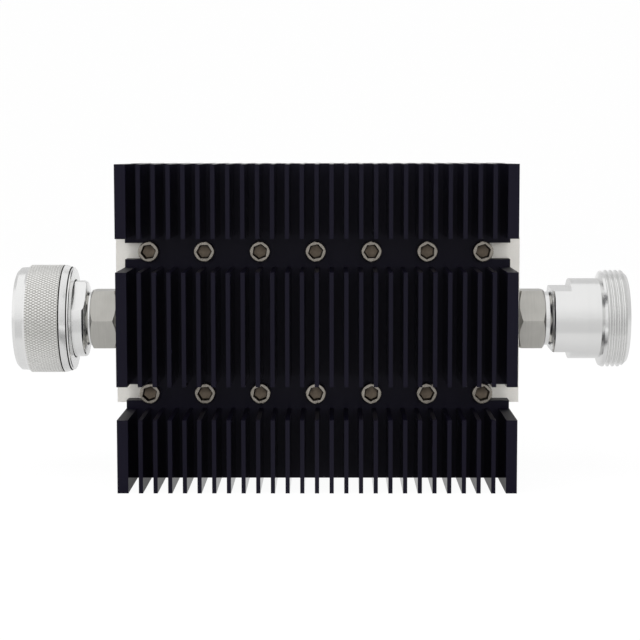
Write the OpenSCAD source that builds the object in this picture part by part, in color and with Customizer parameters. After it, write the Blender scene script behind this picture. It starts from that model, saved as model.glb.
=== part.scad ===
// High-power coaxial attenuator: a milled housing clamped between two finned heatsinks,
// with a screw-coupled coaxial plug on one end and the matching jack on the other.
// Millimetres. X runs along the connectors from plug to jack, Y from front to back, Z up.
// The origin lies under the middle of the overall length, on the plane of the lower fin ends.

/* [Heatsinks] */
// Number of thin fins between the two end fins
fin_count = 25; // [17:2:33]
// Distance from one fin to the next
fin_pitch = 4.15; // [3.6:0.05:5]
// Thickness of a thin fin
fin_t = 1.2; // [0.8:0.1:2]
// Thickness of each end fin
end_fin_t = 3.1; // [2.4:0.1:5]
// Height of the fins above their base
fin_h = 24.65; // [15:0.05:35]
// Thickness of the base that carries the fins
sink_base_t = 5.4; // [4:0.1:8]
// Length of the fins, which is the height of the attenuator
sink_h = 92.8; // [80:0.1:120]
// Width of the two channels milled across the fins
channel_w = 9.4; // [8:0.1:11]
// Width of the open slots that take the end screws
end_slot_w = 4.8; // [4.2:0.1:5.4]

/* [Housing] */
// Thickness of the housing between the heatsinks
housing_t = 12.7; // [12.4:0.1:18]
// Length of housing that shows past each end of the heatsinks
housing_overhang = 3.3; // [1.5:0.1:8]
// Distance between the two rows of cap screws
row_spacing = 41.7; // [36:0.1:50]
// Distance from a row of cap screws to the edge of the housing
row_edge = 3.65; // [3:0.05:6]
// Solid length at each end of the housing, past the cavity
end_wall = 15; // [12:0.5:20]
// Width of the cavity that holds the attenuator element
cavity_w = 14; // [11:0.5:18]
// Thickness of the cavity floor
floor_t = 3; // [2.2:0.1:3.4]
// Thickness of the cavity cover
cover_t = 2.5; // [1.6:0.1:3]
// Width of the ledge that the cover rests on
cover_lip = 4; // [3.4:0.1:5]

/* [Fasteners] */
// Shank diameter of a cap screw
screw_d = 3.5; // [3:0.1:4]
// Head diameter of a cap screw
screw_head_d = 6; // [5.5:0.1:7]
// Head height of a cap screw
screw_head_h = 3.5; // [2.5:0.1:4.5]
// Width across flats of the hexagon socket in the head
screw_key_af = 3.1; // [2:0.1:3.2]
// Depth of the hexagon socket
screw_key_depth = 2; // [1:0.1:2.2]
// Length of a cap screw held in the housing
screw_grip = 4.6; // [3:0.1:5]
// Distance from one cap screw to the next along a row
screw_pitch = 16.26; // [12:0.02:20]
// Offset of the screw pattern from the middle of the fins, towards the plug
screw_shift = 0.5; // [0:0.1:1]
// Shank diameter of the small screws inside the housing
small_screw_d = 2; // [1.6:0.1:2.4]
// Head diameter of the small screws
small_head_d = 3.4; // [3:0.1:3.8]
// Head height of the small screws
small_head_h = 1.2; // [0.8:0.1:1.5]
// Length of a small screw held in its thread
small_grip = 1.8; // [1.2:0.1:2]

/* [Attenuator element] */
// Thickness of the ceramic chips
chip_t = 0.8; // [0.5:0.05:1]
// Width of the ceramic chips
chip_w = 9; // [6:0.5:10]
// Gap between neighbouring chips
chip_gap = 2; // [1:0.1:4]
// Length of carrier left bare at each end for its screws
carrier_land = 6.3; // [5.5:0.1:10]
// Width of the contact ribbons
ribbon_w = 2.2; // [1.5:0.1:3]
// Thickness of the contact ribbons
ribbon_t = 0.15; // [0.1:0.05:0.3]
// Length of a ribbon that lies on each chip
ribbon_lap = 2; // [1:0.1:3]

/* [Coaxial line] */
// Diameter of the inner conductor rod
line_d = 2.2; // [1.8:0.1:2.6]
// Bore of the outer conductor around the rod
line_bore_d = 7.4; // [6.6:0.1:8]
// Inside diameter of the outer conductor at the connector face
face_bore_d = 16; // [15:0.1:16.6]
// Outside diameter of the outer contact sleeve
sleeve_d = 18; // [17.6:0.1:19]
// Diameter of the contact pin
pin_d = 7; // [6:0.1:7.4]
// Diameter of the inner conductor where the bead holds it
neck_d = 4.8; // [4:0.1:5.6]
// Length of the insulating bead
bead_l = 6; // [4:0.1:7]
// Distance that the sleeve of a plug enters a jack
contact_reach = 7.6; // [7:0.1:8.5]

/* [Hex bushings] */
// Width across flats of the hexagon
bushing_af = 17.1; // [16.5:0.1:22]
// Length of the hexagon
bushing_l = 7.9; // [5:0.05:12]
// Diameter of the shank screwed into the housing
shank_d = 9.5; // [9:0.1:10.5]
// Length of the shank
shank_l = 9; // [6:0.5:10.5]
// Diameter of the spigot screwed into a connector body
spigot_d = 14; // [12:0.1:14.6]
// Length of the spigot
spigot_l = 4.3; // [3.5:0.05:6]

/* [Coupling thread] */
// Outside diameter of the coupling thread
thread_d = 29; // [28:0.1:30]
// Pitch of the coupling thread
thread_pitch = 1.5; // [1:0.25:2]

/* [Plug] */
// Length of the flare between bushing and collar
plug_flare_l = 1.85; // [1.5:0.05:4]
// Diameter of the collar behind the coupling nut
collar_d = 22.8; // [22.4:0.1:23.6]
// Width across the two wrench flats of the collar
collar_af = 19.7; // [18:0.1:21]
// Tilt of the upper wrench flat from level towards the front
collar_flat_angle = 42; // [0:1:60]
// Length of collar that shows behind the coupling nut
collar_show = 2.4; // [2:0.05:6]
// Thickness of the flange that the gasket seats on
flange_t = 2.2; // [1.6:0.1:3]
// Thickness of the gasket
gasket_t = 1.5; // [1:0.1:2]
// Distance from the end of the sleeve back to the tip of the pin
pin_recess = 0.7; // [0.2:0.1:2]
// Thickness of the coupling nut outside its thread
nut_rim_t = 1.62; // [1.4:0.02:3.5]
// Length of the coupling nut
nut_l = 17.7; // [15.5:0.05:20]
// Length of the plain ring at the back of the coupling nut
nut_ring_l = 1.9; // [1.4:0.05:3]
// Length of the plain lip in front of the knurl
nut_lip_l = 3.15; // [2:0.05:3.4]
// Depth of the steps at both ends of the knurl
nut_step = 0.76; // [0.4:0.02:1]
// Thickness of the wall at the back of the coupling nut
nut_wall = 4.85; // [3:0.05:5.5]
// Thickness of the retaining ring
ring_t = 1; // [0.8:0.05:1.3]

/* [Jack] */
// Length of the flare between bushing and barrel
jack_flare_l = 2.4; // [1.5:0.05:4]
// Diameter of the barrel
jack_d = 24; // [22.4:0.1:25]
// Width across the two wrench flats of the barrel
jack_af = 18.9; // [17.5:0.1:22]
// Length of the wrench flats
jack_flat_l = 5; // [3:0.1:9]
// Length of the barrel
jack_barrel_l = 13.6; // [11:0.1:18]
// Length of the full thread
thread_l = 5.8; // [5:0.1:10]
// Length of the bevel at the mouth of the jack
mouth_bevel = 1.4; // [0.8:0.1:2]
// Outside diameter of the spring socket
socket_d = 9.4; // [8.6:0.1:10]
// Distance from the mouth back to the end of the spring socket
socket_recess = 1.8; // [1:0.1:3]
// Length of solid metal behind the bore of the spring socket
socket_root = 1.4; // [0.8:0.1:3]
// Width of the slots between the spring fingers
finger_slot_w = 0.5; // [0.3:0.05:0.7]
// Number of slots between the spring fingers
finger_count = 6; // [4:2:8]

/* [Fits] */
// Gap between pieces that are screwed or pressed together
fit = 0.05; // [0.02:0.01:0.08]
// Gap around the shank of a cap screw in its hole
screw_gap = 0.25; // [0.1:0.05:0.35]
// Running gap between the coupling nut and the plug body
nut_gap = 0.4; // [0.3:0.05:0.5]

/* [Hidden] */
$fn = 96;
past = 1;                 // how far a cutting shape runs past the face it cuts

// Heatsinks
fin_gap = fin_pitch - fin_t;
sink_w = (fin_count - 1) * fin_pitch + fin_t + 2 * (fin_gap + end_fin_t);
sink_d = sink_base_t + fin_h;

// Housing
housing_l = sink_w + 2 * housing_overhang;
housing_h = row_spacing + 2 * row_edge;
cavity_l = housing_l - 2 * end_wall;
housing_front = -housing_t / 2;
cavity_floor = housing_t / 2 - floor_t;
ledge_y = housing_front + cover_t;

// Cap screws stand in rows, as many as the heatsink has room for
screw_margin = 5;
screws_per_side = floor((sink_w / 2 - screw_shift - screw_margin) / screw_pitch);
screw_places = [for (i = [-screws_per_side:screws_per_side]) i * screw_pitch - screw_shift];
row_places = [-row_spacing / 2, row_spacing / 2];
tap_spare = 0.8;          // tapped depth left below the end of a screw

// Attenuator element: the stack from floor to inner conductor sets the carrier thickness
line_r = line_d / 2;
chip_top = line_r + ribbon_t;
carrier_top = chip_top + chip_t;
carrier_t = cavity_floor - carrier_top;
carrier_gap = 0.5;
carrier_l = cavity_l - 2 * carrier_gap;
carrier_w = cavity_w - 2 * carrier_gap;
chips_l = carrier_l - 2 * carrier_land;
chip_l = (chips_l - 2 * chip_gap) / 3;
chip_step = chip_l + chip_gap;
tab_inset = 0.3;
tab_l = 2 * ribbon_lap;
rod_lap = tab_inset + ribbon_lap;

// Cover screws stand along the ledge in two rows of four
cover_row_count = 4;
cover_screw_span = cavity_l + cover_lip;
cover_screw_row = (cavity_w + cover_lip) / 2;
cover_screw_places = [for (i = [0:cover_row_count - 1])
    cover_screw_span * (i / (cover_row_count - 1) - 0.5)];

// Distances out from an end face of the housing, shared by plug and jack
rod_end = -(end_wall + carrier_gap + carrier_land + rod_lap);
web_l = 2.3;              // wall between the spigot and the insulating bead
bead_back = bushing_l + spigot_l + web_l;
bead_front = bead_back + bead_l;
flare_d = bushing_af - 1.1; // small end of the flares, inside the flats of the hexagon
flare_round = 0.7;        // rounded rim at the large end of the flares
edge = 0.3;               // small bevel on turned edges

// Plug, outwards from the housing
collar_back = bushing_l + plug_flare_l;
nut_back = collar_back + collar_show;
nut_front = nut_back + nut_l;
nut_shoulder = nut_back + nut_wall;
ring_mid = nut_back + nut_wall / 2;
flange_back = nut_shoulder + 0.3;
flange_front = flange_back + flange_t;
gasket_front = flange_front + gasket_t;
gasket_squeeze = 0.3;     // how much the gasket gives when the coupling is tight
sleeve_front = gasket_front - gasket_squeeze + contact_reach;
pin_tip = sleeve_front - pin_recess;
nut_d = thread_d + 2 * nut_rim_t;
nut_bore_d = thread_d - 1.0825 * thread_pitch;
nut_rear_bore_d = collar_d + 2 * nut_gap;
flange_d = nut_bore_d - 2 * nut_gap;
ring_seat = 0.6;          // depth of the ring groove in the collar
ring_slack = 0.15;        // room around the ring in the groove of the nut
ring_in_d = collar_d - 2 * ring_seat + 2 * fit;
ring_out_d = nut_rear_bore_d + 2 * ring_seat;
ring_split = 3;           // opening of the retaining ring

// Outline of the coupling nut, from the back
bevel_back = nut_back + nut_ring_l;
band_bevel = 1.65;        // slope from the ring up to the plain band
band_back = bevel_back + band_bevel;
band_l = 0.2;             // plain band behind the knurl
band_front = band_back + band_l;
knurl_groove_w = 0.4;
knurl_groove_depth = 0.8;
knurl_back = band_front + knurl_groove_w;
nut_lip_back = nut_front - nut_lip_l;
knurl_bevel = 0.7;
knurl_front = nut_lip_back - knurl_bevel;
rear_groove_w = 0.35;
rear_groove_depth = 0.47;
rear_bevel_l = 0.75;      // bevel on the back edge, along the nut
rear_bevel_h = 1.17;      // and down towards its axis
nut_rear_r = nut_d / 2 - nut_step;

// Jack, outwards from the housing
barrel_back = bushing_l + jack_flare_l;
barrel_front = barrel_back + jack_barrel_l;
thread_bevel = 1.1;       // slope from the barrel up to the thread
thread_back = barrel_front + thread_bevel;
thread_front = thread_back + thread_l;
jack_front = thread_front + mouth_bevel;
contact_step = jack_front - contact_reach;
contact_gap = 0.1;        // room around the sleeve of a mating plug
socket_front = jack_front - socket_recess;
bore_back = bead_front + socket_root;
finger_root = 1.5;        // bore left whole behind the slots
finger_l = socket_front - bore_back - finger_root;

// The whole stands on its lower fin ends, with its overall length centred on the origin
plug_reach = housing_l / 2 + nut_front;
jack_reach = housing_l / 2 + jack_front;
frame_x = (plug_reach - jack_reach) / 2;
axis_z = sink_h / 2;

// Colours
anodised_black = "#1d1b26";
plain_aluminium = "#cfcbc6";
bright_plating = "#e6e6e3";
nickel = "#b3b1ab";
steel = "#a89f96";
copper = "#b87345";
ceramic = "#e9e6dc";
silver_ribbon = "#d8d8d6";
white_plastic = "#f4f3ee";
gasket_red = "#a8442f";

// Moves a piece drawn about the middle of the housing to its place in the frame
module placed() translate([frame_x, 0, axis_z]) children();

// Stands a piece drawn along Z on the plug end or the jack end of the housing
module on_plug() placed() translate([-housing_l / 2, 0, 0]) rotate([0, -90, 0]) children();
module on_jack() placed() translate([housing_l / 2, 0, 0]) rotate([0, 90, 0]) children();

// A turned piece from its half outline, as [radius, distance] points
module turned(outline) rotate_extrude() polygon(outline);

// A box from two opposite corners
module box(low, high) translate(low) cube(high - low);

// A round bar along Y from y0 to y1
module bar_y(d, y0, y1) translate([0, y0, 0]) rotate([-90, 0, 0]) cylinder(d = d, h = y1 - y0);

// The two slabs that cut wrench flats of width af between two distances
module wrench_cut(af, d, back, front)
    for (side = [-1, 1])
        translate([side * (af / 2 + d / 2), 0, (back + front) / 2])
            cube([d, 2 * d, front - back], center = true);

// Section of the heatsink extrusion: base at the back, fins to the front
module sink_section() {
    translate([-sink_w / 2, -sink_base_t]) square([sink_w, sink_base_t]);
    for (i = [0:fin_count - 1])
        translate([(i - (fin_count - 1) / 2) * fin_pitch - fin_t / 2, -sink_d])
            square([fin_t, sink_d]);
    for (side = [-1, 1])
        translate([side * (sink_w - end_fin_t) / 2 - end_fin_t / 2, -sink_d])
            square([end_fin_t, sink_d]);
}

// One heatsink with its back face on Y = 0: an extrusion with two milled channels,
// clearance holes for the inner screws and open slots for the end screws
module heatsink() {
    hole_d = screw_d + 2 * screw_gap;
    difference() {
        translate([0, 0, -sink_h / 2]) linear_extrude(sink_h) sink_section();
        for (z = row_places) {
            box([-sink_w, -sink_d - past, z - channel_w / 2], [sink_w, -sink_base_t, z + channel_w / 2]);
            for (x = screw_places)
                translate([x, 0, z]) bar_y(hole_d, -sink_base_t - past, past);
            for (side = [-1, 1]) {
                end_x = side * screws_per_side * screw_pitch - screw_shift;
                far_x = side * sink_w;
                translate([end_x, 0, z]) bar_y(end_slot_w, -sink_base_t - past, past);
                box([min(end_x, far_x), -sink_base_t - past, z - end_slot_w / 2],
                    [max(end_x, far_x), past, z + end_slot_w / 2]);
            }
        }
    }
}

// A socket-head cap screw with its head seat on Y = 0 and its shank towards +Y
module cap_screw() {
    length = sink_base_t + screw_grip;
    difference() {
        union() {
            rotate([90, 0, 0])
                turned([[0, 0], [screw_head_d / 2, 0], [screw_head_d / 2, screw_head_h - edge],
                        [screw_head_d / 2 - edge, screw_head_h], [0, screw_head_h]]);
            rotate([-90, 0, 0])
                turned([[0, 0], [screw_d / 2, 0], [screw_d / 2, length - edge],
                        [screw_d / 2 - edge, length], [0, length]]);
        }
        rotate([90, 30, 0]) translate([0, 0, screw_head_h - screw_key_depth])
            cylinder(d = screw_key_af / cos(30), h = screw_key_depth + past, $fn = 6);
    }
}

// All cap screws of one heatsink, in their rows
module cap_screw_rows()
    for (x = screw_places, z = row_places)
        translate([x, housing_front - sink_base_t, z]) cap_screw();

// Tapped holes for the cap screws of one side of the housing
module cap_screw_taps()
    for (x = screw_places, z = row_places)
        translate([x, 0, z])
            bar_y(screw_d + 2 * fit, housing_front - past, housing_front + screw_grip + tap_spare);

// Places along the ledge for the cover screws
module at_cover_screws()
    for (x = cover_screw_places, side = [-1, 1])
        translate([x, housing_front, side * cover_screw_row]) children();

// Places on the bare ends of the carrier for its screws
module at_carrier_screws()
    for (sx = [-1, 1], sz = [-1, 1])
        translate([sx * (carrier_l - carrier_land) / 2, 0, sz * (carrier_w - small_head_d - 2 * carrier_gap) / 2])
            children();

module housing() {
    color(plain_aluminium) placed() difference() {
        cube([housing_l, housing_t, housing_h], center = true);
        box([-cavity_l / 2, housing_front - past, -cavity_w / 2], [cavity_l / 2, cavity_floor, cavity_w / 2]);
        box([-cavity_l / 2 - cover_lip - fit, housing_front - past, -cavity_w / 2 - cover_lip - fit],
            [cavity_l / 2 + cover_lip + fit, ledge_y, cavity_w / 2 + cover_lip + fit]);
        for (side = [0, 180]) rotate([0, 0, side]) cap_screw_taps();
        at_cover_screws() bar_y(small_screw_d + 2 * fit, 0, cover_t + small_grip + tap_spare);
        at_carrier_screws()
            bar_y(small_screw_d + 2 * fit, cavity_floor - past, cavity_floor + small_grip + fit);
        for (side = [-90, 90]) rotate([0, side, 0]) {
            translate([0, 0, housing_l / 2 - end_wall - past])
                cylinder(d = line_bore_d, h = end_wall + 2 * past);
            translate([0, 0, housing_l / 2 - shank_l - fit]) cylinder(d = shank_d + 2 * fit, h = shank_l + past);
        }
    }
}

// A countersunk screw with its flat head on Y = 0
module countersunk_screw() {
    length = cover_t + small_grip;
    rotate([-90, 0, 0])
        turned([[0, 0], [small_head_d / 2, 0], [small_screw_d / 2, small_head_h],
                [small_screw_d / 2, length], [0, length]]);
}

// The hole that the countersunk screw sits in, a little larger all round
module countersunk_hole() {
    r = small_head_d / 2 + fit;
    rotate([-90, 0, 0])
        turned([[0, -past], [r, -past], [r, 0], [small_screw_d / 2 + fit, small_head_h],
                [small_screw_d / 2 + fit, cover_t + past], [0, cover_t + past]]);
}

module cavity_cover() {
    color(plain_aluminium) placed() difference() {
        box([-cavity_l / 2 - cover_lip, housing_front, -cavity_w / 2 - cover_lip],
            [cavity_l / 2 + cover_lip, ledge_y, cavity_w / 2 + cover_lip]);
        at_cover_screws() countersunk_hole();
    }
}

module cover_screws() color(steel) placed() at_cover_screws() countersunk_screw();

module front_heatsink() color(anodised_black) placed() translate([0, housing_front, 0]) heatsink();

module rear_heatsink()
    color(anodised_black) placed() rotate([0, 0, 180]) translate([0, housing_front, 0]) heatsink();

module front_cap_screws() color(steel) placed() cap_screw_rows();

module rear_cap_screws() color(steel) placed() rotate([0, 0, 180]) cap_screw_rows();

module chip_carrier() {
    color(copper) placed() difference() {
        box([-carrier_l / 2, carrier_top, -carrier_w / 2], [carrier_l / 2, cavity_floor, carrier_w / 2]);
        at_carrier_screws() bar_y(small_screw_d + 2 * fit, carrier_top - past, cavity_floor + past);
    }
}

module carrier_screws() {
    color(steel) placed() at_carrier_screws() {
        bar_y(small_head_d, carrier_top - small_head_h, carrier_top);
        bar_y(small_screw_d, carrier_top, cavity_floor + small_grip);
    }
}

// One ceramic chip, counted from the plug end
module chip(place)
    color(ceramic) placed() translate([place * chip_step, 0, 0])
        box([-chip_l / 2, chip_top, -chip_w / 2], [chip_l / 2, carrier_top, chip_w / 2]);

module input_chip() chip(-1);
module middle_chip() chip(0);
module output_chip() chip(1);

// A flat ribbon on the chips, from x0 to x1
module ribbon(x0, x1)
    color(silver_ribbon) placed() box([x0, line_r, -ribbon_w / 2], [x1, chip_top, ribbon_w / 2]);

// A ribbon across the gap between two chips
module link(side) {
    mid = side * chip_step / 2;
    half = chip_gap / 2 + ribbon_lap;
    ribbon(mid - half, mid + half);
}

module input_link() link(-1);
module output_link() link(1);
module input_tab() ribbon(-chips_l / 2 + tab_inset, -chips_l / 2 + tab_inset + tab_l);
module output_tab() ribbon(chips_l / 2 - tab_inset - tab_l, chips_l / 2 - tab_inset);

// Hexagon bushing that joins a connector to the housing: a hexagon bevelled at both ends,
// a shank into the housing, a spigot into the connector and the line bore through it
module bushing() {
    corner_r = bushing_af / 2 / cos(30);
    bevel_r = bushing_af / 2 - edge;
    bevel_l = (corner_r - bevel_r) * tan(30);
    difference() {
        union() {
            intersection() {
                rotate([0, 0, 30]) cylinder(r = corner_r, h = bushing_l, $fn = 6);
                turned([[0, 0], [bevel_r, 0], [corner_r, bevel_l], [corner_r, bushing_l - bevel_l],
                        [bevel_r, bushing_l], [0, bushing_l]]);
            }
            turned([[0, -shank_l], [shank_d / 2 - edge, -shank_l], [shank_d / 2, -shank_l + edge],
                    [shank_d / 2, bushing_l / 2], [0, bushing_l / 2]]);
            turned([[0, bushing_l / 2], [spigot_d / 2, bushing_l / 2], [spigot_d / 2, bushing_l + spigot_l - edge],
                    [spigot_d / 2 - edge, bushing_l + spigot_l], [0, bushing_l + spigot_l]]);
        }
        translate([0, 0, -shank_l - past])
            cylinder(d = line_bore_d, h = shank_l + bushing_l + spigot_l + 2 * past);
    }
}

// Insulating tube around the rod, from the cavity to the bead
module line_insulator() {
    inner = line_r + fit;
    outer = line_bore_d / 2 - fit;
    color(white_plastic)
        turned([[inner, -end_wall], [outer, -end_wall], [outer, bead_back], [inner, bead_back]]);
}

// Insulating bead that holds the inner conductor in the connector
module bead() {
    inner = neck_d / 2 + fit;
    outer = face_bore_d / 2 - fit;
    color(white_plastic)
        turned([[inner, bead_back], [outer, bead_back], [outer, bead_front], [inner, bead_front]]);
}

// Half outline of the rod and neck that plug pin and jack socket share
rod_outline = [[0, rod_end], [line_r, rod_end], [line_r, bead_back], [neck_d / 2, bead_back],
               [neck_d / 2, bead_front]];

// Half outline of the bore that plug and jack bodies share, from the face step to the back
function body_bore(face_end) = [
    [face_bore_d / 2, face_end], [face_bore_d / 2, bead_back], [line_bore_d / 2, bead_back],
    [line_bore_d / 2, bead_back - web_l + fit], [spigot_d / 2 + fit, bead_back - web_l + fit],
    [spigot_d / 2 + fit, bushing_l]
];

// Half outline of the flare from the bushing out to the body of a connector:
// a hollow curve that ends square to the axis, then a rounded rim
function flare(end, end_r) =
    let (low_r = flare_d / 2, rim_r = end_r - flare_round, rim_z = end - flare_round)
    concat(
        [for (a = [0:15:90])
            [low_r + (rim_r - low_r) * (1 - cos(a)), bushing_l + (rim_z - bushing_l) * sin(a)]],
        [for (a = [30:30:90])
            [rim_r + flare_round * sin(a), rim_z + flare_round * (1 - cos(a))]]);

module plug_bushing() color(nickel) on_plug() bushing();
module jack_bushing() color(nickel) on_jack() bushing();
module plug_line_insulator() on_plug() line_insulator();
module jack_line_insulator() on_jack() line_insulator();
module plug_bead() on_plug() bead();
module jack_bead() on_jack() bead();

module plug_body() {
    groove_r = collar_d / 2 - ring_seat;
    groove_half = ring_t / 2 + fit;
    outline = concat(
        body_bore(sleeve_front),
        flare(collar_back, collar_d / 2),
        [[collar_d / 2, ring_mid - groove_half], [groove_r, ring_mid - groove_half],
         [groove_r, ring_mid + groove_half], [collar_d / 2, ring_mid + groove_half],
         [collar_d / 2, flange_back], [flange_d / 2, flange_back], [flange_d / 2, flange_front],
         [sleeve_d / 2, flange_front], [sleeve_d / 2, sleeve_front - edge],
         [sleeve_d / 2 - edge, sleeve_front]]);
    color(bright_plating) on_plug() difference() {
        turned(outline);
        rotate([0, 0, -collar_flat_angle])
            wrench_cut(collar_af, collar_d, bushing_l, ring_mid - ring_t);
    }
}

module plug_pin() {
    tip_r = 1.8;
    dome = [for (a = [0:15:90]) [pin_d / 2 - tip_r + tip_r * cos(a), pin_tip - tip_r + tip_r * sin(a)]];
    color(bright_plating) on_plug()
        turned(concat(rod_outline, [[pin_d / 2, bead_front]], dome, [[0, pin_tip]]));
}

module plug_gasket() {
    inner = sleeve_d / 2 + nut_gap / 2;
    outer = flange_d / 2 - nut_gap / 2;
    color(gasket_red) on_plug()
        turned([[inner, flange_front], [outer, flange_front], [outer, gasket_front], [inner, gasket_front]]);
}

module plug_retaining_ring() {
    color(steel) on_plug() difference() {
        turned([[ring_in_d / 2, ring_mid - ring_t / 2], [ring_out_d / 2, ring_mid - ring_t / 2],
                [ring_out_d / 2, ring_mid + ring_t / 2], [ring_in_d / 2, ring_mid + ring_t / 2]]);
        translate([-ring_out_d / 2, 0, ring_mid]) cube([ring_out_d, ring_split, 2 * ring_t], center = true);
    }
}

module plug_coupling_nut() {
    r = nut_d / 2;
    bore = nut_bore_d / 2;
    groove_r = ring_out_d / 2 + ring_slack;
    groove_half = ring_t / 2 + ring_slack;
    outline = [
        [nut_rear_bore_d / 2, nut_back], [nut_rear_r - rear_bevel_h, nut_back],
        [nut_rear_r, nut_back + rear_bevel_l], [nut_rear_r, bevel_back - rear_groove_w],
        [nut_rear_r - rear_groove_depth, bevel_back - rear_groove_w],
        [nut_rear_r - rear_groove_depth, bevel_back], [nut_rear_r, bevel_back],
        [r, band_back], [r, band_front], [r - knurl_groove_depth, band_front],
        [r - knurl_groove_depth, knurl_back], [r, knurl_back], [r, knurl_front],
        [nut_rear_r + edge / 3, nut_lip_back], [nut_rear_r, nut_front - 1], [nut_rear_r - 1, nut_front],
        [bore + 2 * edge, nut_front], [bore, nut_front - 2 * edge], [bore, nut_shoulder],
        [nut_rear_bore_d / 2, nut_shoulder], [nut_rear_bore_d / 2, ring_mid + groove_half],
        [groove_r, ring_mid + groove_half], [groove_r, ring_mid - groove_half],
        [nut_rear_bore_d / 2, ring_mid - groove_half]
    ];
    color(bright_plating) on_plug() turned(outline);
}

module jack_body() {
    mouth_r = sleeve_d / 2 + contact_gap;
    outline = concat(
        [[mouth_r + 2 * edge, jack_front], [mouth_r, jack_front - 2 * edge], [mouth_r, contact_step]],
        body_bore(contact_step),
        flare(barrel_back, jack_d / 2),
        [[jack_d / 2, barrel_front],
         [thread_d / 2, thread_back], [thread_d / 2, thread_front],
         [thread_d / 2 - mouth_bevel, jack_front]]);
    color(bright_plating) on_jack() difference() {
        turned(outline);
        wrench_cut(jack_af, jack_d, bushing_l, barrel_back + jack_flat_l);
    }
}

module jack_socket() {
    outer = socket_d / 2;
    bore = pin_d / 2 + fit;
    outline = concat(
        rod_outline,
        [[outer, bead_front], [outer, socket_front - edge], [outer - edge, socket_front],
         [bore, socket_front], [bore, bore_back], [0, bore_back]]);
    color(bright_plating) on_jack() difference() {
        turned(outline);
        for (i = [0:finger_count / 2 - 1])
            rotate([0, 0, i * 360 / finger_count])
                translate([0, 0, socket_front - finger_l / 2 + past / 2])
                    cube([2 * socket_d, finger_slot_w, finger_l + past], center = true);
    }
}

housing();
cavity_cover();
cover_screws();
front_heatsink();
rear_heatsink();
front_cap_screws();
rear_cap_screws();
chip_carrier();
carrier_screws();
input_chip();
middle_chip();
output_chip();
input_link();
output_link();
input_tab();
output_tab();
plug_bushing();
plug_line_insulator();
plug_body();
plug_bead();
plug_pin();
plug_gasket();
plug_retaining_ring();
plug_coupling_nut();
jack_bushing();
jack_line_insulator();
jack_body();
jack_bead();
jack_socket();
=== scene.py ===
import math

import bmesh
import bpy
from mathutils import Matrix, Vector


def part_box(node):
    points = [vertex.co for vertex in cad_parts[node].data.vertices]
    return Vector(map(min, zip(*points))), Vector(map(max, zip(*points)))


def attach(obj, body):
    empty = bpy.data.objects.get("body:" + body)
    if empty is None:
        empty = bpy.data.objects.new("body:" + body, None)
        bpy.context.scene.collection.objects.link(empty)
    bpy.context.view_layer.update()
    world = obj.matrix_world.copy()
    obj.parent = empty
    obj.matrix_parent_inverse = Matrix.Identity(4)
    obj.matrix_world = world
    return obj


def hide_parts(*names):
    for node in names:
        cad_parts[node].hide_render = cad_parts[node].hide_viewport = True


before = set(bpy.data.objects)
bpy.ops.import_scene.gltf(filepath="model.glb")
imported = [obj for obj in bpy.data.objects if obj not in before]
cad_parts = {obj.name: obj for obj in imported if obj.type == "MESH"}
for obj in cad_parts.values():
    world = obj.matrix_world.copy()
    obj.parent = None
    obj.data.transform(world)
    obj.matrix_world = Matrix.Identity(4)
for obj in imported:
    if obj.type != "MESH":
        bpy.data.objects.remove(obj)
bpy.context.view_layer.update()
scene = bpy.context.scene
scene.view_settings.view_transform = "Standard"

# Studio. The part stands on a seamless white sweep under large soft boxes, and is seen
# from a little above through a long lens, as on a catalogue page.
MM = 0.001


class Wire:
    """A socket of a shader tree that can stand in a Python expression."""

    def __init__(self, tree, socket=None):
        self.tree, self.socket = tree, socket

    def add(self, kind, settings=None, sockets=None, out=0):
        """Adds a node: its settings first, then the values or links of its sockets."""
        node = self.tree.nodes.new(kind)
        for name, value in (settings or {}).items():
            setattr(node, name, value)
        for name, value in (sockets or {}).items():
            if isinstance(value, Wire):
                self.tree.links.new(value.socket, node.inputs[name])
            else:
                node.inputs[name].default_value = value
        return Wire(self.tree, node.outputs[out])

    def math(self, operation, *values):
        return self.add("ShaderNodeMath", {"operation": operation}, dict(enumerate(values)))

    def __add__(self, other):
        return self.math("ADD", self, other)

    def __sub__(self, other):
        return self.math("SUBTRACT", self, other)

    def __rsub__(self, other):
        return self.math("SUBTRACT", other, self)

    def __mul__(self, other):
        return self.math("MULTIPLY", self, other)

    def __gt__(self, other):
        return self.math("GREATER_THAN", self, other)

    __radd__ = __add__
    __rmul__ = __mul__

    def most(self, other):
        return self.math("MAXIMUM", self, other)

    def parts(self):
        """The X, Y and Z of a vector."""
        split = self.add("ShaderNodeSeparateXYZ", sockets={0: self}).socket.node
        return [Wire(self.tree, split.outputs[i]) for i in range(3)]

    def between(self, low, high):
        """A colour between two others, with this value as the share of the second."""
        return self.add("ShaderNodeMix", {"data_type": "RGBA"}, {0: self, 6: low, 7: high}, out=2)

    def into(self, socket):
        self.tree.links.new(self.socket, socket)


def ray_kinds(tree):
    """Whether a ray comes from the camera, from a glossy finish or through a clear piece."""
    rays = Wire(tree).add("ShaderNodeLightPath").socket.node
    return [
        Wire(tree, rays.outputs[kind])
        for kind in ("Is Camera Ray", "Is Glossy Ray", "Is Transmission Ray")
    ]


def deselect():
    bpy.ops.object.select_all(action="DESELECT")


def pick(piece, kind, test):
    """Selects the vertices, edges or faces of a piece in edit mode that pass a test."""
    bpy.ops.mesh.select_mode(type=kind)
    bpy.ops.mesh.select_all(action="DESELECT")
    edit = bmesh.from_edit_mesh(piece.data)
    for item in {"VERT": edit.verts, "EDGE": edit.edges, "FACE": edit.faces}[kind]:
        item.select_set(bool(test(item)))
    edit.select_flush_mode()
    bmesh.update_edit_mesh(piece.data)


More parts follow.
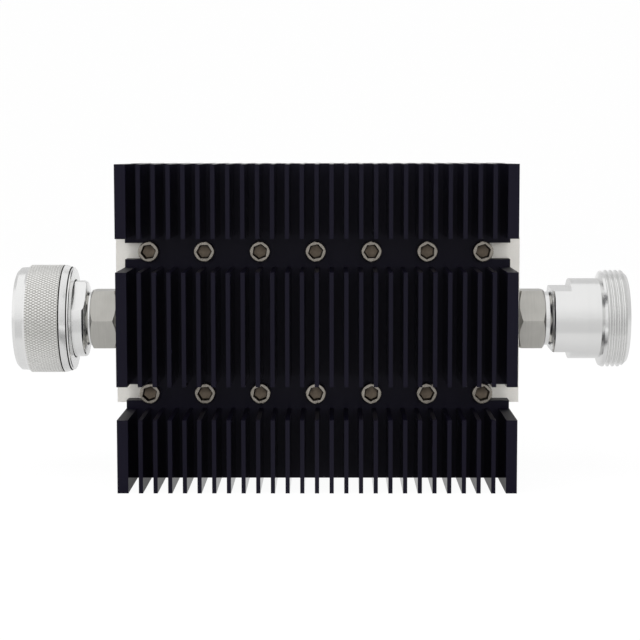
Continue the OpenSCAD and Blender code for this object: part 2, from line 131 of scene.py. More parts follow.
camera_target = Vector((-0.542, 0, 45.872)) * MM
camera_distance, camera_lens, camera_near = 537.4 * MM, 100.56, 10 * MM
camera_pitch, camera_yaw, camera_roll = (math.radians(a) for a in (5.313, 0.42, -0.066))
ahead = Vector(
    (
        -math.sin(camera_yaw) * math.cos(camera_pitch),
        math.cos(camera_yaw) * math.cos(camera_pitch),
        -math.sin(camera_pitch),
    )
)
level = ahead.cross(Vector((0, 0, 1))).normalized()
upright = level.cross(ahead)
camera_right = level * math.cos(camera_roll) + upright * math.sin(camera_roll)
camera_up = upright * math.cos(camera_roll) - level * math.sin(camera_roll)
deselect()
bpy.ops.object.camera_add()
camera = bpy.context.object
camera.data.lens = camera_lens
camera.data.clip_start = camera_near
camera.matrix_world = Matrix.Translation(camera_target - ahead * camera_distance) @ (
    Matrix((camera_right, camera_up, -ahead)).transposed().to_4x4()
)
scene.camera = camera

sweep_size, sweep_back, sweep_height, sweep_curve = 8, 2.5, 4, 1.5
deselect()
bpy.ops.mesh.primitive_plane_add(size=sweep_size, location=(0, sweep_back - sweep_size / 2, 0))
sweep = bpy.context.object
sweep.name = "studio_sweep"
bpy.ops.object.transform_apply(location=True, rotation=True, scale=True)
bpy.ops.object.mode_set(mode="EDIT")
pick(sweep, "EDGE", lambda e: all(v.co.y > 0 for v in e.verts))
bpy.ops.mesh.extrude_region_move(TRANSFORM_OT_translate={"value": (0, 0, sweep_height)})
pick(sweep, "EDGE", lambda e: len(e.link_faces) == 2)
bpy.ops.mesh.bevel(offset=sweep_curve, segments=24, affect="EDGES")
bpy.ops.object.mode_set(mode="OBJECT")
bpy.ops.object.shade_smooth()

sweep_paint = bpy.data.materials.new("sweep_paint")
sweep_paint.use_nodes = True
tree = sweep_paint.node_tree
tree.nodes.clear()
from_camera, from_gloss, from_clear = ray_kinds(tree)
across, depth, _ = from_camera.add("ShaderNodeTexCoord", out="Object").parts()
beside = across.math("ABSOLUTE", across)
part_front, fins_half_w, fins_back = -65 * MM, 58 * MM, 50 * MM
wall_half_w, wall_front = 230 * MM, 900 * MM
past_front = depth > part_front
under_fins = (1 - (beside > fins_half_w)) * (1 - (depth > fins_back))
behind_fins = (1 - (beside > wall_half_w)) * (depth > wall_front)

# The camera sees the sweep nearly white with a trace of the part's shadow. Bright metal mirrors
# it greyer, with more light past the front of the part, under its fins and on the wall behind.
paint_level, unlit_for_camera, unlit_for_gloss = 0.85, 0.93, 0.7
camera_white, mirror_grey = 0.955, 0.42
front_gain, fins_gain, fins_fall, wall_gain = 0.13, 0.5, 17, 0.22
unlit = (from_camera * unlit_for_camera).most(from_gloss * unlit_for_gloss).most(from_clear)
paint = paint_level * (1 - unlit)
matt = paint.add("ShaderNodeBsdfDiffuse", sockets={"Color": paint})
mirrored = from_gloss * (
    mirror_grey
    + past_front * front_gain
    + under_fins * (fins_gain - beside * fins_fall)
    + behind_fins * wall_gain
)
backlit = (from_camera * camera_white).most(mirrored).most(from_clear)
glow = paint.add("ShaderNodeEmission", sockets={"Color": backlit, "Strength": 1})
both = paint.add("ShaderNodeAddShader", sockets={0: matt, 1: glow})
both.into(tree.nodes.new("ShaderNodeOutputMaterial").inputs["Surface"])
sweep.data.materials.append(sweep_paint)

room = bpy.data.worlds.new("studio_room")
scene.world = room
room.use_nodes = True
tree = room.node_tree
tree.nodes.clear()
from_camera, from_gloss, from_clear = ray_kinds(tree)
seen = from_camera.most(from_gloss).most(from_clear)
away, depth, height = seen.add("ShaderNodeTexCoord", out="Generated").parts()
room_light, front_dim, right_dim = 0.45, 0.12, 0.35
front_reach, front_fall = -1.4, 1.6
off_level = height.math("ABSOLUTE", height)
front_wall = (depth * front_reach).most(0) * (1 - off_level * front_fall).most(0)
right_wall = away.most(0)
dimmed = from_gloss * (front_wall * front_dim + right_wall * right_dim)
walls = room_light + seen * (1 - room_light - dimmed)
glow = seen.add("ShaderNodeBackground", sockets={"Color": walls, "Strength": 1})
glow.into(tree.nodes.new("ShaderNodeOutputWorld").inputs["Surface"])

lamp_aim = Vector((0, 0, 45)) * MM


def soft_box(name, place, size, power):
    """A square area lamp that faces the part."""
    deselect()
    bpy.ops.object.light_add(type="AREA", location=place)
    lamp = bpy.context.object
    lamp.name = name
    lamp.data.size = size
    lamp.data.energy = power
    lamp.visible_glossy = False
    aim = lamp_aim - Vector(place)
    lamp.rotation_euler = aim.to_track_quat("-Z", "Y").to_euler()


soft_box("top_box", (-0.2, -0.35, 1.3), 1.0, 9)
soft_box("left_box", (-1.2, -0.8, 0.5), 0.7, 5)
soft_box("right_box", (1.2, -0.8, 0.4), 0.7, 4)
soft_box("front_box", (0.1, -1.5, 0.3), 0.6, 7)

# Housing. A thick aluminium plate, milled hollow for the attenuator element, closed by a
# sunk cover with countersunk screws, and bead-blasted all over. Its ends carry the connectors.
housing_low, housing_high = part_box("housing")
AXIS_Z = (housing_low.z + housing_high.z) / 2
cad_weld, flat_angle, edge_angle = 0.002 * MM, math.radians(1), math.radians(40)


def take(piece):
    """Makes a piece the only selected one and the active one."""
    deselect()
    piece.select_set(True)
    bpy.context.view_layer.objects.active = piece


def smooth(piece, angle=30):
    """Smooth shading up to an angle, with broad faces kept flat beside small bevels."""
    take(piece)
    bpy.ops.object.shade_smooth_by_angle(angle=math.radians(angle))
    even = piece.modifiers.new("even_normals", "WEIGHTED_NORMAL")
    even.keep_sharp = True
    bpy.ops.object.modifier_apply(modifier=even.name)


def dressed(node, name, edge_break):
    """A merged copy of a CAD node, with its sharp edges broken by a small bevel."""
    piece = bpy.data.objects.new(name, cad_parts[node].data.copy())
    scene.collection.objects.link(piece)
    piece.data.materials.clear()
    take(piece)
    bpy.ops.mesh.customdata_custom_splitnormals_clear()
    bpy.ops.object.mode_set(mode="EDIT")
    bpy.ops.mesh.select_all(action="SELECT")
    bpy.ops.mesh.remove_doubles(threshold=cad_weld)
    bpy.ops.mesh.dissolve_limited(angle_limit=flat_angle)
    bpy.ops.object.mode_set(mode="OBJECT")
    bevel = piece.modifiers.new("edge_break", "BEVEL")
    bevel.width = edge_break
    bevel.segments = 2
    bevel.limit_method = "ANGLE"
    bevel.angle_limit = edge_angle
    bpy.ops.object.modifier_apply(modifier=bevel.name)
    smooth(piece, angle=35)
    return piece


def finish(name, constants):
    """A new material: itself, its shader's sockets, and the place on the piece in metres."""
    material = bpy.data.materials.new(name)
    material.use_nodes = True
    sockets = material.node_tree.nodes["Principled BSDF"].inputs
    for socket, value in constants.items():
        sockets[socket].default_value = value
    return material, sockets, Wire(material.node_tree).add("ShaderNodeTexCoord", out="Object")


def grain(place, scale, stretch=(1, 1, 1), detail=2):
    """Noise with a number of waves to the metre, drawn out along some directions."""
    drawn = place.add("ShaderNodeMapping", sockets={"Vector": place, "Scale": stretch})
    return place.add(
        "ShaderNodeTexNoise", sockets={"Vector": drawn, "Scale": scale, "Detail": detail}
    )


def relief(height, depth):
    """Bumps of a depth in metres."""
    return height.add("ShaderNodeBump", sockets={"Height": height, "Distance": depth})


def stand_for(piece, slot, *nodes, body="attenuator"):
    """Puts a piece in the place of CAD nodes, on their body. The slot argument is not used."""
    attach(piece, body)
    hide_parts(*nodes)


def coat(node, material):
    """Gives a CAD node that stays in view its own finish."""
    for material_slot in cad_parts[node].material_slots:
        material_slot.material = material


housing_break = 0.25 * MM
blasted, sockets, place = finish("blasted_aluminium", {"Metallic": 0.2})
pits = grain(place, 2400, detail=3)
clouds = grain(place, 70)
(pits * 0.5 + clouds * 0.5).between((0.68, 0.66, 0.62, 1), (0.88, 0.86, 0.815, 1)).into(
    sockets["Base Color"]
)
(0.42 + pits * 0.2).into(sockets["Roughness"])
relief(pits, 0.03 * MM).into(sockets["Normal"])

housing_block = dressed("housing", "housing_block", housing_break)
housing_block.data.materials.append(blasted)
stand_for(housing_block, "housing_aluminium", "housing")
coat("cavity_cover", blasted)

stainless, sockets, place = finish("stainless_screw", {"Metallic": 1})
turning = grain(place, 3000, stretch=(1, 0.3, 1))
tarnish = grain(place, 400)
tarnish.between((0.27, 0.245, 0.21, 1), (0.42, 0.39, 0.35, 1)).into(sockets["Base Color"])
(0.2 + turning * 0.16).into(sockets["Roughness"])
relief(turning, 0.008 * MM).into(sockets["Normal"])
coat("cover_screws", stainless)

# Attenuator element. Three film chips on ceramic, soldered to a copper carrier that is
# screwed to the floor of the housing, and joined by silver ribbons. All shut in the housing.
copper, sockets, place = finish("rolled_copper", {"Metallic": 1})
rolling = grain(place, 2500, stretch=(0.04, 1, 1))
rolling.between((0.66, 0.31, 0.18, 1), (0.8, 0.43, 0.28, 1)).into(sockets["Base Color"])
(0.22 + rolling * 0.15).into(sockets["Roughness"])
coat("chip_carrier", copper)
coat("carrier_screws", stainless)

ceramic, sockets, place = finish("chip_ceramic", {})
speckle = grain(place, 5000, detail=3)
speckle.between((0.76, 0.75, 0.71, 1), (0.86, 0.85, 0.82, 1)).into(sockets["Base Color"])
(0.4 + speckle * 0.2).into(sockets["Roughness"])
for node in ("input_chip", "middle_chip", "output_chip"):
    coat(node, ceramic)

silver, sockets, place = finish("silver_plate", {"Metallic": 1})
polish = grain(place, 4000, stretch=(0.2, 1, 1))
polish.between((0.84, 0.83, 0.79, 1), (0.93, 0.92, 0.89, 1)).into(sockets["Base Color"])
(0.16 + polish * 0.12).into(sockets["Roughness"])
for node in ("input_link", "output_link", "input_tab", "output_tab"):
    coat(node, silver)

# Heatsinks. Two aluminium extrusions, one on each side of the housing, with straight fins
# along Z. Two channels are milled across the fins for the screws, then all is anodised black.
fin_break, fin_top = 0.12 * MM, 92 * MM
anodise, sockets, place = finish("black_anodise", {"Specular IOR Level": 0.1})
_, outward, along = place.add("ShaderNodeTexCoord", out="Normal").parts()
cut_face = along.math("ABSOLUTE", along) > 0.7
drawn = grain(place, 1600, stretch=(1, 1, 0.015))
sawn = grain(place, 1600, stretch=(0.03, 1, 1))
lines = drawn * (1 - cut_face) + sawn * cut_face
dye = grain(place, 90, stretch=(1, 1, 0.2))
shade = dye * 0.6 + lines * 0.4
shade.between((0.004, 0.0035, 0.0084, 1), (0.0059, 0.005, 0.0122, 1)).into(sockets["Base Color"])
broad_face = outward.math("ABSOLUTE", outward) > 0.7
_, _, height = place.parts()
top_end = height > fin_top
dullness = 0.04 + broad_face * 0.3 + cut_face * (0.38 - top_end * 0.32)
(dullness + lines * 0.04).into(sockets["Roughness"])
relief(lines * (0.25 + broad_face * 0.75), 0.004 * MM).into(sockets["Normal"])
for node, name in (("front_heatsink", "front_fins"), ("rear_heatsink", "rear_fins")):
    fins = dressed(node, name, fin_break)
    fins.data.materials.append(anodise)
    stand_for(fins, "black_anodised", node)

# Cap screws. Stainless socket cap screws, 14 on each side, hold the heatsinks to the housing:
# smooth round heads with a broached hexagon socket, brown inside from thread oil, its walls
# painted darker than its floor as painted shade.
screw_low, screw_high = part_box("front_cap_screws")
head_d, head_l, shank_d = 6 * MM, 3.5 * MM, 3.5 * MM
shank_l = screw_high.y - screw_low.y - head_l
head_sides, head_round = 64, 0.3 * MM
key_af, key_floor_af = 3.8 * MM, 3.2 * MM
key_r, key_depth, key_point, key_bevel = key_af / math.sqrt(3), 2 * MM, 0.5 * MM, 0.12 * MM
key_taper = key_floor_af / key_af
screws_in_row = 7
key_turns = (12, 27, 10, 20, 5, 25, 15, 22, 28, 8, 18, 26, 3, 14)


def apply_cut(piece, cutter, operation="DIFFERENCE"):
    """Cuts, joins or trims a piece with a second one, which is used up."""
    take(piece)
    cut = piece.modifiers.new("cut", "BOOLEAN")
    cut.operation, cut.object, cut.solver = operation, cutter, "EXACT"
    bpy.ops.object.modifier_apply(modifier=cut.name)
    bpy.data.objects.remove(cutter)


def bar(sides, radius, start, end, turn):
    """A straight bar from one point to another along X or Y, as a start or a cutter."""
    deselect()
    bpy.ops.mesh.primitive_cylinder_add(
        vertices=sides,
        radius=radius,
        depth=(end - start).length,
        location=(start + end) / 2,
        rotation=turn,
    )
    bpy.ops.object.transform_apply(location=True, rotation=True, scale=True)
    return bpy.context.object


def second_finish(piece, material, test):
    """Gives the faces of a piece that pass a test one more material."""
    piece.data.materials.append(material)
    take(piece)
    bpy.ops.object.mode_set(mode="EDIT")
    pick(piece, "FACE", test)
    piece.active_material_index = len(piece.data.materials) - 1
    bpy.ops.object.material_slot_assign()
    bpy.ops.object.mode_set(mode="OBJECT")


towards_y = (math.pi / 2, 0, 0)
head_front, head_seat = Vector((0, -head_l, 0)), Vector((0, 0, 0))
at_front, at_point = -head_l * 0.99, 0.1 * MM
cap_screw = bar(head_sides, head_d / 2, head_front, head_seat, towards_y)
bpy.ops.object.mode_set(mode="EDIT")
pick(cap_screw, "FACE", lambda f: f.normal.y > 0.9)
bpy.ops.mesh.inset(thickness=(head_d - shank_d) / 2)
bpy.ops.mesh.extrude_region_move(TRANSFORM_OT_translate={"value": (0, shank_l, 0)})
pick(cap_screw, "EDGE", lambda e: all(v.co.y < at_front for v in e.verts))
bpy.ops.mesh.bevel(offset=head_round, segments=4, affect="EDGES")
bpy.ops.object.mode_set(mode="OBJECT")

key_floor = head_front + Vector((0, key_depth, 0))
key = bar(6, key_r, head_front * 1.02, key_floor, towards_y)
bpy.ops.object.mode_set(mode="EDIT")
pick(key, "FACE", lambda f: f.normal.y > 0.9)
bpy.ops.transform.resize(value=(key_taper, 1, key_taper), center_override=key_floor)
bpy.ops.mesh.poke()
pick(key, "VERT", lambda v: v.co.y > key_floor.y - at_point and v.co.xz.length < at_point)
bpy.ops.transform.translate(value=(0, key_point, 0))
bpy.ops.object.mode_set(mode="OBJECT")
apply_cut(cap_screw, key)
bpy.ops.object.mode_set(mode="EDIT")
pick(
    cap_screw,
    "EDGE",
    lambda e: all(v.co.y < at_front and v.co.xz.length < key_r * 1.05 for v in e.verts)
    and any(abs(f.normal.y) < 0.5 for f in e.link_faces),
)
bpy.ops.mesh.bevel(offset=key_bevel, segments=1, affect="EDGES")
bpy.ops.object.mode_set(mode="OBJECT")

# The socket is brown from thread oil. Its walls are painted near black as painted shade, and its
# floor lighter as a painted highlight.
oiled_and_shaded, sockets, place = finish("socket_oil_and_painted_shade", {"Metallic": 1, "Roughness": 0.35})
film = grain(place, 1500)
_, outward, _ = place.add("ShaderNodeTexCoord", out="Normal").parts()
socket_floor = outward.math("ABSOLUTE", outward) > 0.5
oil_and_painted_shade = socket_floor * 0.5 + film * 0.5
oil_and_painted_shade.between((0.02, 0.015, 0.011, 1), (0.19, 0.155, 0.12, 1)).into(sockets["Base Color"])


def in_socket(face):
    """Whether a face of a screw lies inside its socket, below the broken edge."""
    middle = face.calc_center_median()
    inside = all(v.co.xz.length < key_r * 1.02 for v in face.verts)
    return inside and middle.xz.length < key_r and -head_l + key_bevel < middle.y < 0


cap_screw.data.materials.append(stainless)
second_finish(cap_screw, oiled_and_shaded, in_socket)
smooth(cap_screw)

for node, name, facing in (
    ("front_cap_screws", "front_screws", 0),
    ("rear_cap_screws", "rear_screws", math.pi),
):
    low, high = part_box(node)
    seat_y = high.y - head_l if facing else low.y + head_l
    screw_pitch = (high.x - low.x - head_d) / (screws_in_row - 1)
    copies = []
    for row, z in enumerate((low.z + head_d / 2, high.z - head_d / 2)):
        for i in range(screws_in_row):
            copy = bpy.data.objects.new(name, cap_screw.data.copy())
            scene.collection.objects.link(copy)
            copy.matrix_world = (
                Matrix.Translation((low.x + head_d / 2 + i * screw_pitch, seat_y, z))
                @ Matrix.Rotation(facing, 4, "Z")
                @ Matrix.Rotation(math.radians(key_turns[row * screws_in_row + i]), 4, "Y")
            )
            copies.append(copy)
    deselect()
    for copy in copies:
        copy.select_set(True)
    bpy.context.view_layer.objects.active = copies[0]
    bpy.ops.object.join()
    bpy.ops.object.transform_apply(location=True, rotation=True, scale=True)
    stand_for(copies[0], "screw_steel", node)
bpy.data.objects.remove(cap_screw)

# Hexagon bushings. Stainless steel adapters, milled from hexagon bar and turned at both ends,
# are screwed into the ends of the housing and carry the two connectors.
hex_af, hex_l = 17.1 * MM, 7.9 * MM
hex_corner = hex_af / math.sqrt(3)
hex_bevel_r, hex_bevel_angle = hex_af / 2 - 0.3 * MM, math.radians(30)
hex_bevel_l = (hex_corner - hex_bevel_r) * math.tan(hex_bevel_angle)
bushing_core = (
    (-9, 0), (-9, 4.45), (-8.7, 4.75), (4, 4.75), (4, 7), (11.9, 7), (12.2, 6.7), (12.2, 0),
)
line_bore_r, bore_sides, bore_inner, bore_outer = 3.7 * MM, 72, -12, 15
turned_steps, weld, sliver = 144, 0.001 * MM, 0.0001 * MM


def at_plug(outline):
    """An outline of (distance from the housing, radius) in mm, laid out on the plug's side."""
    return [(housing_low.x - u * MM, r * MM) for u, r in outline]


def at_jack(outline):
    """The same on the jack's side."""
    return [(housing_high.x + u * MM, r * MM) for u, r in outline]


def turned(name, outline, closed=True):
    """A piece turned on a lathe: an outline of (X, radius) spun about the axis of the line."""
    start_x, start_r = outline[0]
    deselect()
    bpy.ops.mesh.primitive_plane_add(size=MM, location=(start_x, 0, AXIS_Z + start_r))
    piece = bpy.context.object
    piece.name = name
    bpy.ops.object.transform_apply(location=True, rotation=True, scale=True)
    bpy.ops.object.mode_set(mode="EDIT")
    bpy.ops.mesh.select_mode(type="VERT")
    bpy.ops.mesh.select_all(action="SELECT")
    bpy.ops.mesh.merge(type="CENTER")
    ends = outline[1:] + outline[:1] if closed else outline[1:]
    for (x0, r0), (x1, r1) in zip(outline, ends):
        bpy.ops.mesh.extrude_vertices_move(
            TRANSFORM_OT_translate={"value": (x1 - x0, 0, r1 - r0)}
        )
    bpy.ops.mesh.select_all(action="SELECT")
    bpy.ops.mesh.remove_doubles(threshold=weld)
    bpy.ops.mesh.spin(
        steps=turned_steps, angle=2 * math.pi, center=(0, 0, AXIS_Z), axis=(1, 0, 0)
    )
    bpy.ops.mesh.select_all(action="SELECT")
    bpy.ops.mesh.remove_doubles(threshold=weld)
    bpy.ops.mesh.dissolve_degenerate(threshold=sliver)
    bpy.ops.mesh.normals_make_consistent(inside=False)
    bpy.ops.object.mode_set(mode="OBJECT")
    return piece


def lathe_lines(place, scale):
    """Fine rings that a turning tool leaves, along the axis and across a face."""
    x, y, z = place.parts()
    off_axis = z - AXIS_Z
    radius = place.math("SQRT", y * y + off_axis * off_axis)
    rings = place.add("ShaderNodeCombineXYZ", sockets={0: x, 1: radius})
    return place.add(
        "ShaderNodeTexNoise", sockets={"Vector": rings, "Scale": scale, "Detail": 2}
    )


satin_steel, sockets, place = finish("satin_steel", {"Metallic": 1})
milling = grain(place, 2200, stretch=(1, 0.06, 0.06))
stain = grain(place, 250)
(milling * 0.5 + stain * 0.5).between((0.4, 0.39, 0.365, 1), (0.6, 0.59, 0.555, 1)).into(
    sockets["Base Color"]
)
(0.26 + milling * 0.14).into(sockets["Roughness"])
relief(milling, 0.01 * MM).into(sockets["Normal"])

towards_x = (0, math.pi / 2, 0)
for node, name, laid_out in (
    ("plug_bushing", "plug_hex", at_plug),
    ("jack_bushing", "jack_hex", at_jack),
):
    (near_x, _), (far_x, _) = laid_out([(0, 0), (hex_l / MM, 0)])
    near, far = Vector((near_x, 0, AXIS_Z)), Vector((far_x, 0, AXIS_Z))
    hexagon = bar(6, hex_corner, near, far, towards_x)
    far_u, reach = hex_l / MM, hex_bevel_l / MM
    low_r, high_r = hex_bevel_r / MM, hex_corner / MM + 0.01
    bevel_outline = [
        (0, 0), (0, low_r), (reach, high_r), (far_u - reach, high_r), (far_u, low_r), (far_u, 0),
    ]
    bevels = turned("hexagon_bevels", laid_out(bevel_outline), closed=False)
    apply_cut(hexagon, bevels, "INTERSECT")
    bushing = turned(name, laid_out(bushing_core), closed=False)
    apply_cut(bushing, hexagon, "UNION")
    (inner_x, _), (outer_x, _) = laid_out([(bore_inner, 0), (bore_outer, 0)])
    inner, outer = Vector((inner_x, 0, AXIS_Z)), Vector((outer_x, 0, AXIS_Z))
    apply_cut(bushing, bar(bore_sides, line_bore_r, inner, outer, towards_x))
    smooth(bushing)
    bushing.data.materials.append(satin_steel)
    stand_for(bushing, "bushing_steel", node)

# Line insulators and beads. White fluoroplastic tubes and discs, turned from rod, hold the
# inner conductor in the middle of the line and show in the mouths of the connectors.
fluoroplastic, sockets, place = finish("fluoroplastic", {"IOR": 1.36})
waxy = grain(place, 900, detail=3)
waxy.between((0.8, 0.8, 0.78, 1), (0.88, 0.88, 0.865, 1)).into(sockets["Base Color"])
(0.34 + waxy * 0.14).into(sockets["Roughness"])
relief(lathe_lines(place, 3500), 0.008 * MM).into(sockets["Normal"])
for node in ("plug_line_insulator", "jack_line_insulator", "plug_bead", "jack_bead"):
    coat(node, fluoroplastic)

# Plug body. Brass, turned, with two spanner flats across its collar, plated bright. It is
# screwed over the bushing's spigot and holds the coupling nut by its flange and a snap ring.
rim_steps, rim_round, rim_start = 8, 0.7, math.radians(15)


def rounded_rim(u, r):
    """Points of a rounded rim, from a face that is nearly square to the axis to a cylinder."""
    turns = [rim_start + (math.pi / 2 - rim_start) * i / rim_steps for i in range(rim_steps + 1)]
    return [
        (u - rim_round * math.cos(a), r - rim_round + rim_round * math.sin(a)) for a in turns
    ]


plug_outline = [
    (28.3, 8), (14.5, 8), (14.5, 3.7), (12.25, 3.7), (12.25, 7.05), (7.9, 7.05),
    (7.9, 8), (8.45, 8), (9, 8.43), *rounded_rim(10.07, 11.4),
    (14.025, 11.4), (14.025, 10.8), (15.125, 10.8), (15.125, 11.4), (17.3, 11.4), (17.3, 13.29),
    (19.5, 13.29), (19.5, 9), (28, 9), (28.3, 8.7),
]
collar_af, collar_flat_turn = 19.7 * MM, math.radians(42)
collar_flat_back, collar_flat_front = 7.9 * MM, 13.575 * MM


def spanner_flats(piece, af, x0, x1, turn):
    """Mills two flats on a round piece, one across from the other."""
    block = 30 * MM
    for side in (0, math.pi):
        reach = (af + block) / 2
        tilt = turn + side
        deselect()
        bpy.ops.mesh.primitive_cube_add(
            size=1,
            location=((x0 + x1) / 2, -math.sin(tilt) * reach, AXIS_Z + math.cos(tilt) * reach),
            rotation=(tilt, 0, 0),
            scale=(abs(x1 - x0), 2 * block, block),
        )
        apply_cut(piece, bpy.context.object)


plating, sockets, place = finish("bright_plating", {"Metallic": 1})
rings = lathe_lines(place, 3200)
haze = grain(place, 120)
(rings * 0.4 + haze * 0.6).between((0.8, 0.8, 0.795, 1), (0.9, 0.9, 0.895, 1)).into(
    sockets["Base Color"]
)
(0.13 + rings * 0.14).into(sockets["Roughness"])
relief(rings, 0.006 * MM).into(sockets["Normal"])

plug_shell = turned("plug_shell", at_plug(plug_outline))
spanner_flats(
    plug_shell,
    collar_af,
    housing_low.x - collar_flat_back,
    housing_low.x - collar_flat_front,
    collar_flat_turn,
)
smooth(plug_shell)
plug_shell.data.materials.append(plating)
stand_for(plug_shell, "bright_plating", "plug_body")
coat("plug_pin", silver)
coat("plug_retaining_ring", stainless)

silicone, sockets, place = finish("silicone_gasket", {"Specular IOR Level": 0.3})
bloom = grain(place, 1200, detail=3)
bloom.between((0.3, 0.07, 0.04, 1), (0.4, 0.11, 0.065, 1)).into(sockets["Base Color"])
(0.5 + bloom * 0.2).into(sockets["Roughness"])
coat("plug_gasket", silicone)

# Coupling nut. Turned from brass and plated, with a diamond knurl to grip it by and an inner
# thread that draws the plug onto a jack. It turns freely on the plug's collar.
nut_outline = (
    (12.95, 11.8), (13.15, 15.16), (13.35, 15.36), (13.7, 15.36), (13.7, 14.89), (14.05, 14.89),
    (14.05, 15.6), (15.7, 16.08), (15.9, 16.08), (15.9, 15.32), (16.3, 15.32), (16.3, 15.6),
    (26, 15.6), (26, 16.02), (26.7, 15.46), (28.85, 15.36), (29.85, 14.36), (29.85, 14.29),
    (29.25, 13.69), (17, 13.69), (17, 11.8), (15.225, 11.8), (15.225, 12.55), (13.925, 12.55),
    (13.925, 11.8),
)
knurl_back, knurl_front, knurl_r = 16.3 * MM, 26 * MM, 16.12 * MM
knurl_teeth, knurl_rows, row_l = 117, 8, 1.6 * MM
knurl_slope, knurl_depth, knurl_skirt = 0.14 * MM, 0.2 * MM, 0.96
knurl_start = housing_low.x - knurl_back + row_l * 0.6
thread_pitch, thread_steps = 1.5 * MM, 96
nut_thread_front, nut_thread_back = housing_low.x - 30.8 * MM, housing_low.x - 20.3 * MM
groove_spans = ((13.65, 14.1, 14.8, 15.3), (15.85, 16.35, 15.2, 16))


def helix(x0, x1, section, turn):
    """A closed section of (X, radius) wound along the axis, its start turned from the top."""
    deselect()
    first_x, first_r = section[0]
    bpy.ops.mesh.primitive_plane_add(size=MM, location=(0, 0, 0))
    piece = bpy.context.object
    bpy.ops.object.mode_set(mode="EDIT")
    bpy.ops.mesh.select_mode(type="VERT")
    bpy.ops.mesh.select_all(action="SELECT")
    bpy.ops.mesh.merge(type="CENTER")
    bpy.ops.transform.translate(value=(first_x, 0, first_r))
    for (xa, ra), (xb, rb) in zip(section, section[1:] + section[:1]):
        bpy.ops.mesh.extrude_vertices_move(
            TRANSFORM_OT_translate={"value": (xb - xa, 0, rb - ra)}
        )
    bpy.ops.mesh.select_all(action="SELECT")
    bpy.ops.mesh.remove_doubles(threshold=weld)
    bpy.ops.object.mode_set(mode="OBJECT")
    piece.location = (x0, 0, AXIS_Z)
    piece.rotation_euler.x = turn
    winding = piece.modifiers.new("winding", "SCREW")
    winding.axis = "X"
    winding.angle = 2 * math.pi
    winding.screw_offset = thread_pitch
    winding.iterations = max(1, round((x1 - x0) / thread_pitch))
    winding.steps = winding.render_steps = thread_steps
    winding.use_merge_vertices = True
    bpy.ops.object.modifier_apply(modifier=winding.name)
    bpy.ops.object.transform_apply(location=True, rotation=True, scale=True)
    bpy.ops.object.mode_set(mode="EDIT")
    bpy.ops.mesh.select_all(action="SELECT")
    bpy.ops.mesh.remove_doubles(threshold=weld)
    bpy.ops.mesh.fill_holes(sides=0)
    bpy.ops.mesh.select_all(action="SELECT")
    bpy.ops.mesh.normals_make_consistent(inside=False)
    bpy.ops.object.mode_set(mode="OBJECT")
    return piece


nut_body = turned("nut_body", at_plug(nut_outline))
nut_groove = [
    (-0.65 * MM, 13.2 * MM), (-0.65 * MM, 13.69 * MM), (-0.14 * MM, 14.55 * MM),
    (0.14 * MM, 14.55 * MM), (0.65 * MM, 13.69 * MM), (0.65 * MM, 13.2 * MM),
]
apply_cut(nut_body, helix(nut_thread_front, nut_thread_back, nut_groove, 0))
smooth(nut_body)

deselect()
bpy.ops.mesh.primitive_circle_add(
    vertices=knurl_teeth,
    radius=knurl_r - knurl_depth,
    fill_type="NOTHING",
    location=(knurl_start, 0, AXIS_Z),
    rotation=towards_x,
)
knurl = bpy.context.object
knurl.name = "nut_knurl"
bpy.ops.object.transform_apply(location=True, rotation=True, scale=True)
bpy.ops.object.mode_set(mode="EDIT")
bpy.ops.mesh.select_mode(type="EDGE")
bpy.ops.mesh.select_all(action="SELECT")
for _ in range(knurl_rows):
    bpy.ops.mesh.extrude_region_move(TRANSFORM_OT_translate={"value": (-row_l, 0, 0)})
bpy.ops.mesh.select_all(action="SELECT")
bpy.ops.mesh.normals_make_consistent(inside=False)
bpy.ops.mesh.mark_seam(clear=False)
bpy.ops.mesh.poke()
pick(knurl, "EDGE", lambda e: e.seam and len(e.link_faces) == 2)
bpy.ops.mesh.dissolve_edges(use_verts=False)
pick(knurl, "FACE", lambda f: len(f.verts) == 4)
bpy.ops.mesh.inset(thickness=knurl_slope, depth=knurl_depth, use_individual=True)
for end, outward in ((knurl_back, 1), (knurl_front, -1)):
    bpy.ops.mesh.select_all(action="SELECT")
    bpy.ops.mesh.bisect(
        plane_co=(housing_low.x - end, 0, AXIS_Z), plane_no=(outward, 0, 0), clear_outer=True
    )
pick(knurl, "EDGE", lambda e: len(e.link_faces) == 1)
bpy.ops.mesh.extrude_edges_move(TRANSFORM_OT_translate={"value": (0, 0, 0)})
bpy.ops.transform.resize(
    value=(1, knurl_skirt, knurl_skirt), center_override=(0, 0, AXIS_Z)
)
bpy.ops.mesh.bridge_edge_loops()
bpy.ops.mesh.select_all(action="SELECT")
bpy.ops.mesh.normals_make_consistent(inside=False)
bpy.ops.object.mode_set(mode="OBJECT")

# The knurl's tooth tops are painted brighter than the plain plating and its tooth flanks darker:
# painted light and painted shade that bring out the diamond pattern.
knurl_tops_lit, sockets, place = finish("knurl_tops_painted_light", {"Metallic": 1})
worn = grain(place, 700, detail=3)
worn.between((0.88, 0.875, 0.855, 1), (0.97, 0.965, 0.945, 1)).into(sockets["Base Color"])
(0.3 + worn * 0.14).into(sockets["Roughness"])
knurl_flank_painted_shade, sockets, place = finish("knurl_flank_painted_shade", {"Metallic": 1, "Roughness": 0.4})
worn = grain(place, 700, detail=3)
worn.between((0.68, 0.675, 0.655, 1), (0.8, 0.795, 0.775, 1)).into(sockets["Base Color"])
# The two narrow grooves behind the knurl get a near-black finish: painted shade for the shadow
# deep inside them.
groove_painted_shade, sockets, place = finish("groove_painted_shade", {"Metallic": 1, "Roughness": 0.5})
shade_mottle = grain(place, 900)
shade_mottle.between((0.03, 0.028, 0.025, 1), (0.1, 0.095, 0.085, 1)).into(sockets["Base Color"])


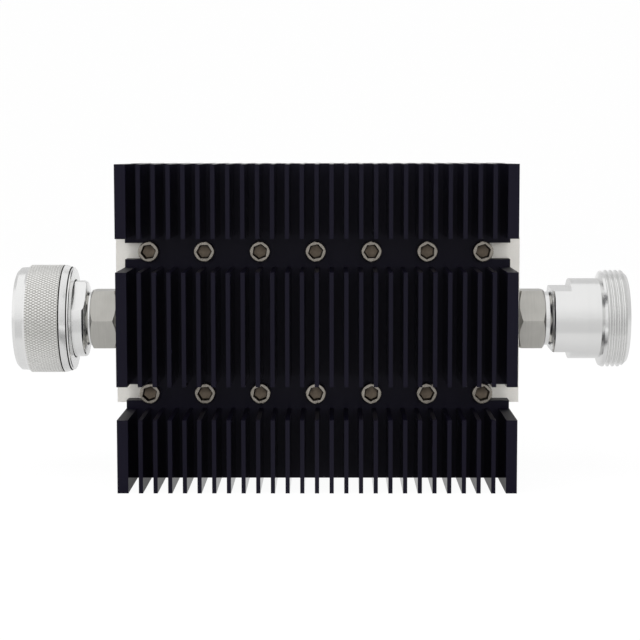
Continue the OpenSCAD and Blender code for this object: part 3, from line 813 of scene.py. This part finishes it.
def in_groove(face):
    """Whether a face lies in one of the two narrow grooves behind the knurl."""
    middle = face.calc_center_median()
    u = (housing_low.x - middle.x) / MM
    r = math.hypot(middle.y, middle.z - AXIS_Z) / MM
    return any(u0 < u < u1 and r0 < r < r1 for u0, u1, r0, r1 in groove_spans)


def on_flank(face):
    """Whether a face of the knurl is the side of a tooth and not its top."""
    middle = face.calc_center_median()
    outward = Vector((0, middle.y, middle.z - AXIS_Z)).normalized()
    return face.normal.dot(outward) < 0.9


nut_body.data.materials.append(plating)
second_finish(nut_body, groove_painted_shade, in_groove)
knurl.data.materials.append(knurl_tops_lit)
second_finish(knurl, knurl_flank_painted_shade, on_flank)
take(nut_body)
knurl.select_set(True)
bpy.ops.object.join()
stand_for(nut_body, "bright_plating", "plug_coupling_nut", body="coupling_nut")

# Jack body. Brass, turned, with spanner flats behind its barrel and an outer thread at the
# mouth, plated bright. Its slotted socket takes the pin of a mating plug.
jack_outline = [
    (32.2, 9.7), (31.6, 9.1), (24.6, 9.1), (24.6, 8), (14.5, 8), (14.5, 3.7), (12.25, 3.7),
    (12.25, 7.05), (7.9, 7.05), (7.9, 8), (9.11, 8), (9.68, 8.43), *rounded_rim(10.55, 12),
    (23.9, 12), (24.45, 14.1), (25.3, 14.5), (30.8, 14.5), (32.2, 13.1),
]
jack_af, jack_flat_front, jack_flat_turn = 18.2 * MM, 15.3 * MM, math.radians(2.6)

jack_shell = turned("jack_shell", at_jack(jack_outline))
spanner_flats(
    jack_shell,
    jack_af,
    housing_high.x + hex_l,
    housing_high.x + jack_flat_front,
    jack_flat_turn,
)
jack_groove = [
    (-0.125 * MM, 13.58 * MM), (-0.655 * MM, 14.5 * MM), (-0.655 * MM, 15.2 * MM),
    (0.655 * MM, 15.2 * MM), (0.655 * MM, 14.5 * MM), (0.125 * MM, 13.58 * MM),
]
thread_start, thread_end = housing_high.x + 25.195 * MM, housing_high.x + 35.695 * MM
thread_turn = math.radians(-90)
apply_cut(jack_shell, helix(thread_start, thread_end, jack_groove, thread_turn))
smooth(jack_shell)
jack_shell.data.materials.append(plating)
stand_for(jack_shell, "bright_plating", "jack_body")
coat("jack_socket", silver)
